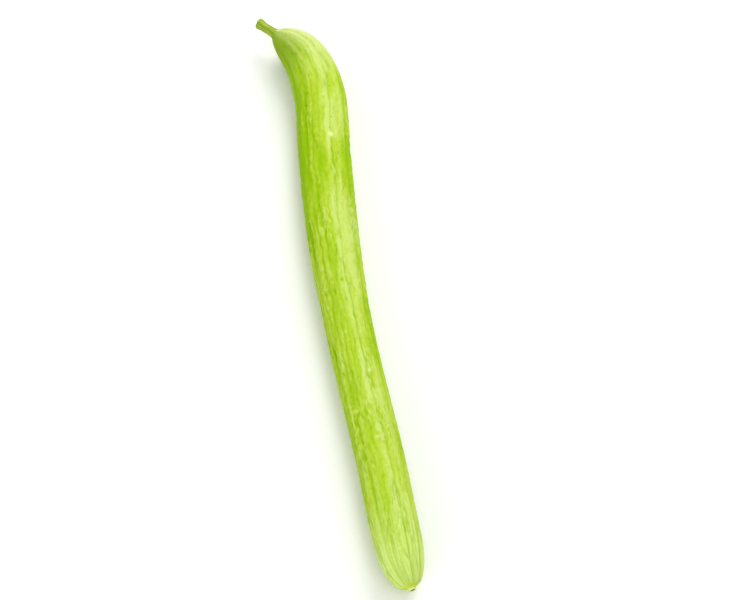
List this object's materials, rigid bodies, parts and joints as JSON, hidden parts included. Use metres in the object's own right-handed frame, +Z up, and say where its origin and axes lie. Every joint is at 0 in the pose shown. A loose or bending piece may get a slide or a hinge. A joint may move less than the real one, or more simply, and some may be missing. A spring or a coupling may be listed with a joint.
{
  "type": "cucumber",
  "caption": "Long slim snake cucumber with shallow lengthwise ribs, a gentle S-bend and a short cut stem, lying on its belly.",
  "frame": {"origin": "on the surface that the cucumber lies on, at the centre of the bounding box in plan", "axes": "+Y from the blossom end to the stem end, +Z up out of the surface, +X to the right seen from above with the stem end away from the viewer"},
  "size_m": [0.1255, 0.4522, 0.039],
  "materials": {
    "fruit_skin": "satin waxy skin, pale yellow-green ridges over greener grooves, with fine furrows and specks",
    "stem_skin": "matt, slightly hairy green stalk with a dried pale cut face"
  },
  "bodies": {
    "root": {"fruit": "fruit_skin", "stem": "stem_skin"}
  },
  "joints": []
}
